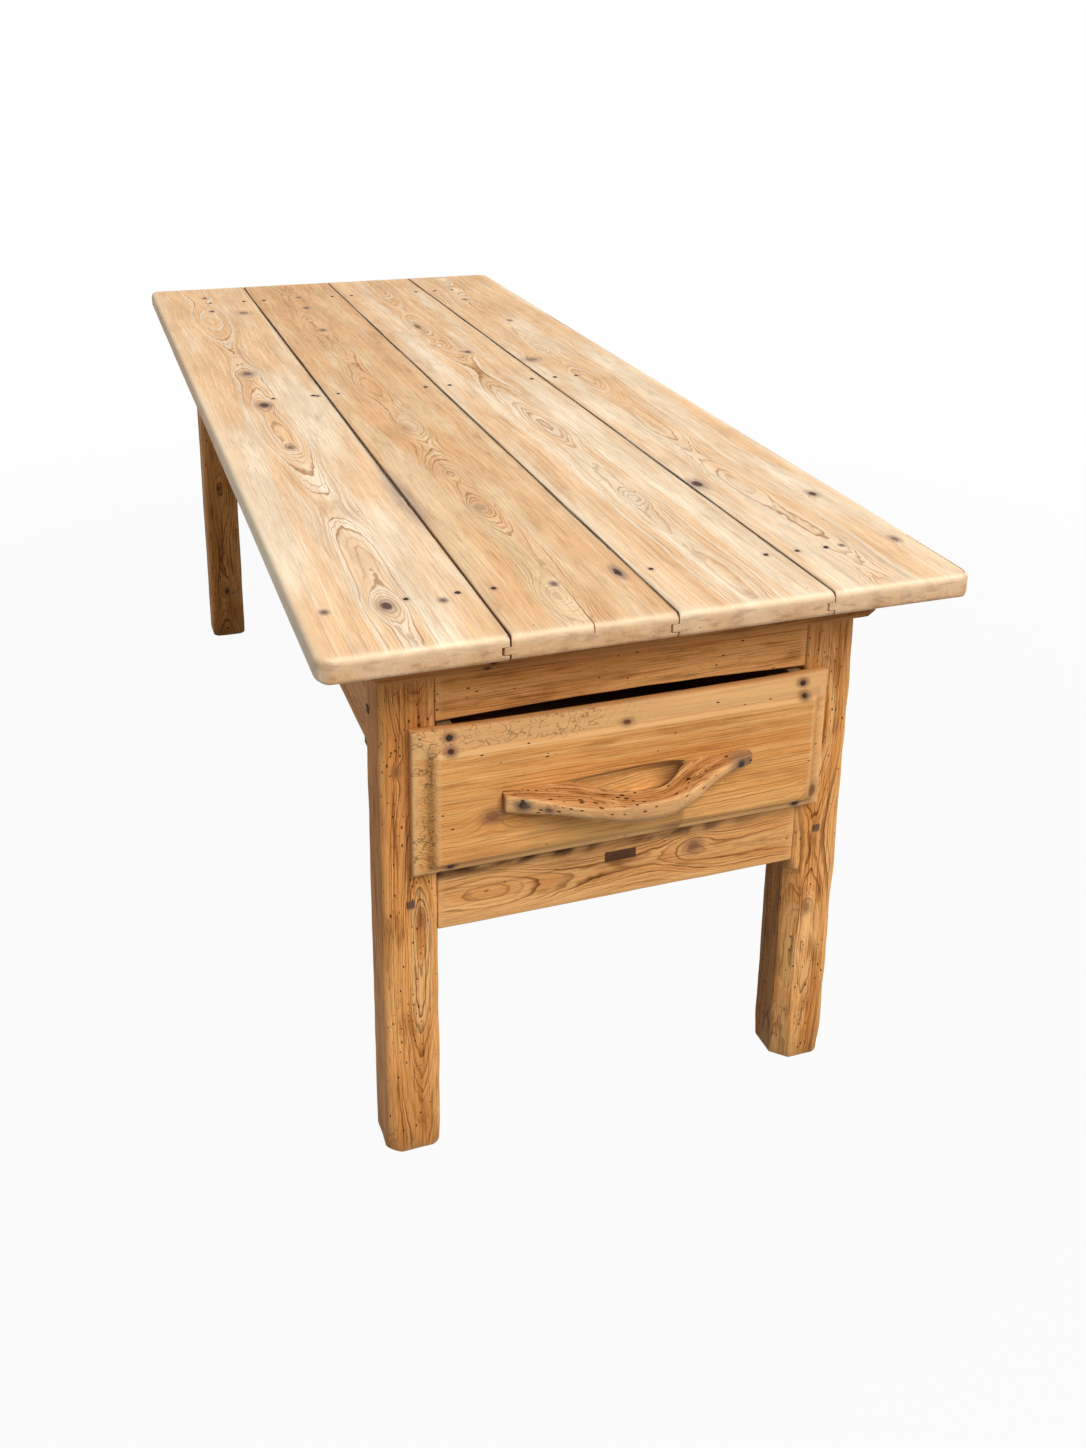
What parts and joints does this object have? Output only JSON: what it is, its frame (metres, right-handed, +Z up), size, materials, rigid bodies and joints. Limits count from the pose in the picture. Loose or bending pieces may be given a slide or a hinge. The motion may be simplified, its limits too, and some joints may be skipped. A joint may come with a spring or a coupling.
{
  "type": "farmhouse table",
  "caption": "Long pine farmhouse table with a planked top on square legs and a deep sliding drawer with a bowed wooden pull in one end.",
  "frame": {"origin": "on the floor under the middle of the table top", "axes": "+Z up, +Y along the table from the drawer end to the far end, +X to the right seen from the drawer end"},
  "size_m": [0.8098, 2.014, 0.77],
  "materials": {
    "scrubbed_pine": "scrubbed and waxed",
    "frame_pine": "waxed",
    "drawer_pine": "waxed",
    "inner_pine": "bare",
    "handle_wood": "worn smooth",
    "dark_wood": "bare",
    "iron": "rusted"
  },
  "bodies": {
    "table": {"apron_pegs": "dark_wood", "drawer_cross_rail": "inner_pine", "drawer_guide_left": "inner_pine", "drawer_guide_right": "inner_pine", "drawer_kicker_left": "inner_pine", "drawer_kicker_right": "inner_pine", "drawer_runner_left": "inner_pine", "drawer_runner_right": "inner_pine", "front_bearer": "frame_pine", "front_left_leg": "frame_pine", "front_right_leg": "frame_pine", "left_apron": "frame_pine", "lower_end_rail": "frame_pine", "lower_rail_pegs": "dark_wood", "lower_rail_plug": "dark_wood", "middle_bearer": "inner_pine", "rear_bearer": "frame_pine", "rear_end_rail": "frame_pine", "rear_left_leg": "frame_pine", "rear_rail_pegs": "dark_wood", "rear_right_leg": "frame_pine", "right_apron": "frame_pine", "runner_hanger_left": "inner_pine", "runner_hanger_right": "inner_pine", "top_board_1": "scrubbed_pine", "top_board_2": "scrubbed_pine", "top_board_3": "scrubbed_pine", "top_board_4": "scrubbed_pine", "top_nails": "iron", "upper_end_rail": "frame_pine"},
    "drawer": {"drawer_back": "inner_pine", "drawer_bottom_front": "inner_pine", "drawer_bottom_rear": "inner_pine", "drawer_front": "drawer_pine", "drawer_handle": "handle_wood", "drawer_nails": "iron", "drawer_side_left": "inner_pine", "drawer_side_right": "inner_pine", "handle_nails": "iron"}
  },
  "joints": [
    {"name": "drawer_slide", "type": "slide", "parent": "table", "child": "drawer", "axis": [0, -1, 0], "range_m": [0, 0.27]}
  ]
}
